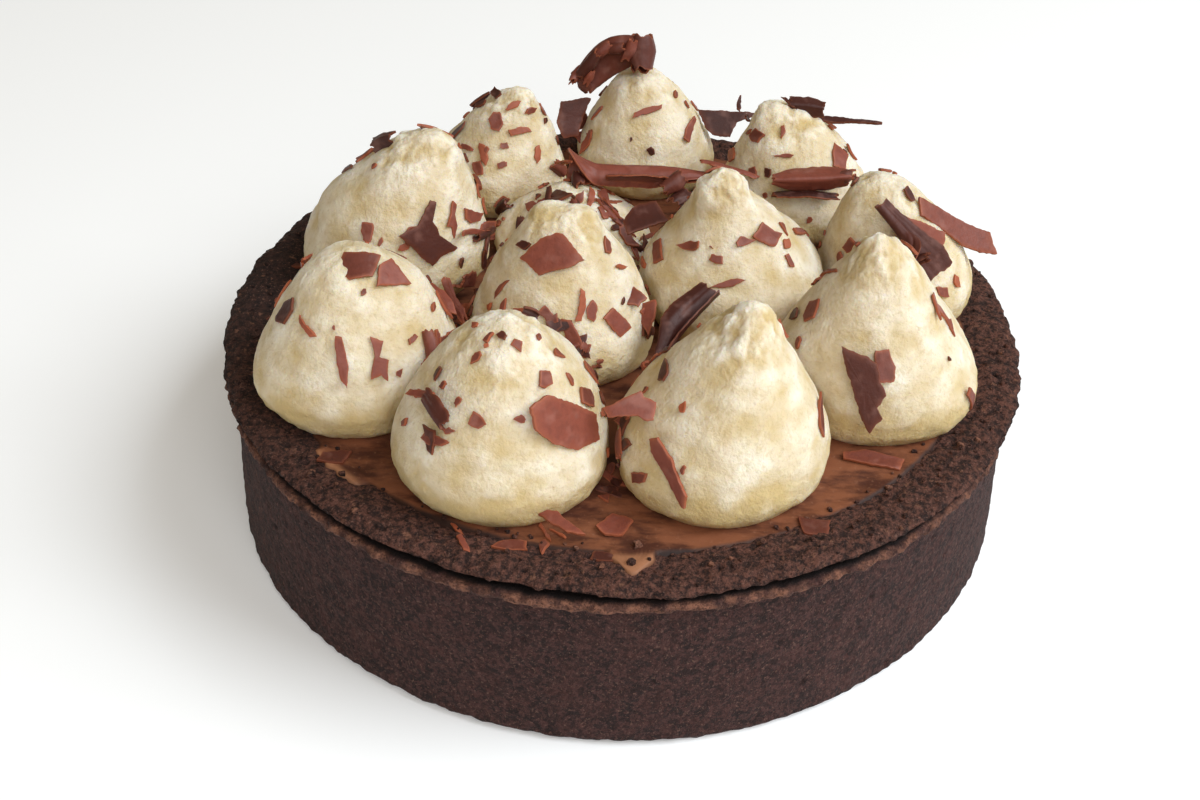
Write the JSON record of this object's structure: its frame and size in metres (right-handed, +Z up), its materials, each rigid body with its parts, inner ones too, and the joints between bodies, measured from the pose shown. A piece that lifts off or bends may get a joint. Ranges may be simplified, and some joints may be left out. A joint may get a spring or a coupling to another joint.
{
  "type": "chocolate tart",
  "caption": "Deep round tart: dark cocoa shortcrust case, chocolate filling, piped cream kisses on top and scattered milk chocolate shards and curls.",
  "frame": {"origin": "middle of the flat underside", "axes": "+Z up out of the filling, -Y to the front, +X to the right seen from the front"},
  "size_m": [0.1192, 0.1197, 0.0539],
  "materials": {
    "crust": "baked cocoa shortcrust, matte, grainy and slightly pitted",
    "filling": "set chocolate filling, smooth with a soft sheen",
    "cream": "whipped cream, ivory, matte with a fine aerated grain",
    "milk_chocolate": "shaved milk chocolate, waxy satin",
    "dark_chocolate": "shaded, tightly rolled chocolate, waxy satin"
  },
  "bodies": {
    "root": {"crust": "crust", "filling": "filling", "kiss_left": "cream", "kiss_front_left": "cream", "kiss_front_right": "cream", "kiss_right": "cream", "kiss_far_left": "cream", "kiss_centre": "cream", "kiss_centre_right": "cream", "kiss_far_right": "cream", "kiss_back_left": "cream", "kiss_back": "cream", "kiss_back_right": "cream", "kiss_centre_back": "cream", "shard_front": "milk_chocolate", "shard_centre": "milk_chocolate", "stick_front": "milk_chocolate", "shard_back_right": "milk_chocolate", "shard_far_right": "milk_chocolate", "shard_outer": "milk_chocolate", "curl_long": "milk_chocolate", "shard_gap": "milk_chocolate", "shard_filling": "milk_chocolate", "shard_filling_right": "milk_chocolate", "shard_right": "dark_chocolate", "shard_star": "dark_chocolate", "curl_right": "dark_chocolate", "curl_crown": "dark_chocolate", "curl_gap": "dark_chocolate", "shard_back_left": "dark_chocolate", "shard_back": "dark_chocolate", "shard_middle": "dark_chocolate", "stick_back_right": "dark_chocolate"}
  },
  "joints": []
}
